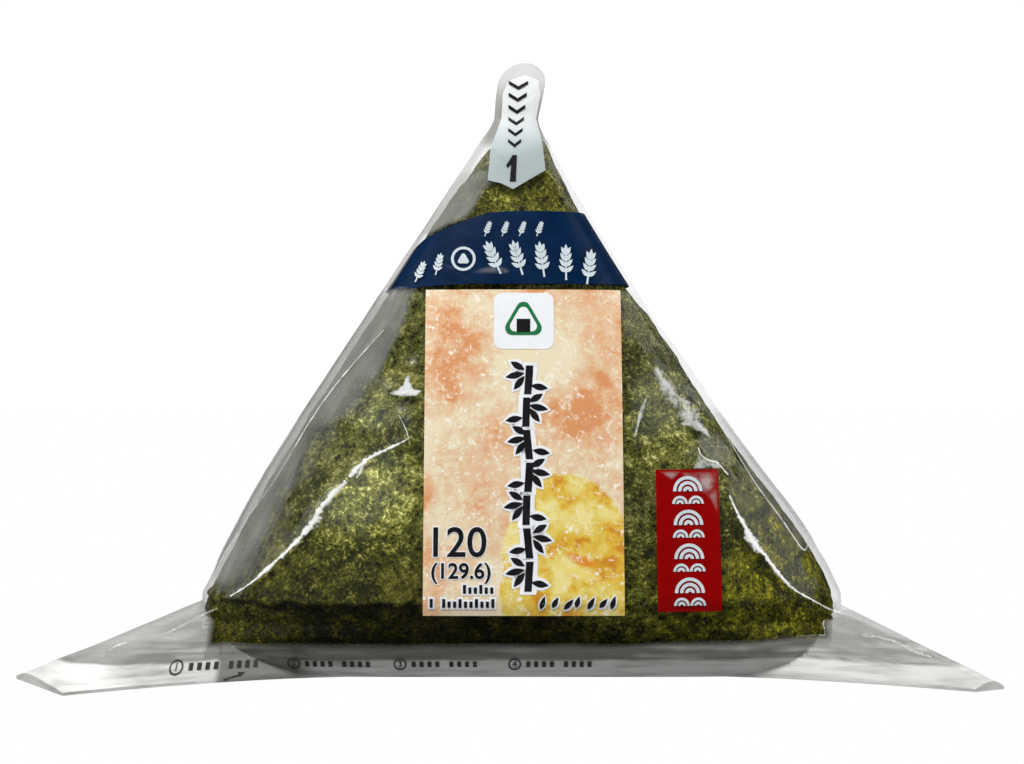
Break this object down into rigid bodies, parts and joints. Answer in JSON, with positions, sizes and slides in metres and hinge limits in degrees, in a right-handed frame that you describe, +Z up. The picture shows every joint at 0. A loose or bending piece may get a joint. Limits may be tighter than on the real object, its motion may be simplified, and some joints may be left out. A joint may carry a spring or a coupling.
{
  "type": "wrapped onigiri rice ball",
  "caption": "Triangular rice ball covered in seaweed, in a folded clear film pack with a front label, a dark band, a red panel and a pull tab, standing on its base.",
  "frame": {"origin": "middle of the bottom of the part's box, on the surface that the pack stands on", "axes": "+Z up to the pull tab, -Y the front with the label, +X to the viewer's right, along the base"},
  "size_m": [0.143, 0.051, 0.0933],
  "materials": {
    "film_and_nori": "clear and milky folded film over dark green nori",
    "label": "semi-gloss film sticker with soft peach, cream and yellow fields",
    "blue_print": "dark blue printing on glossy film, with pale ornament",
    "red_print": "deep red printing on glossy film, with pale wave arcs",
    "tab_print": "opaque white printing on glossy film, with black marks"
  },
  "bodies": {
    "root": {"film_pack": "film_and_nori", "front_label": "label", "blue_band": "blue_print", "red_panel": "red_print", "pull_tab": "tab_print"}
  },
  "joints": []
}
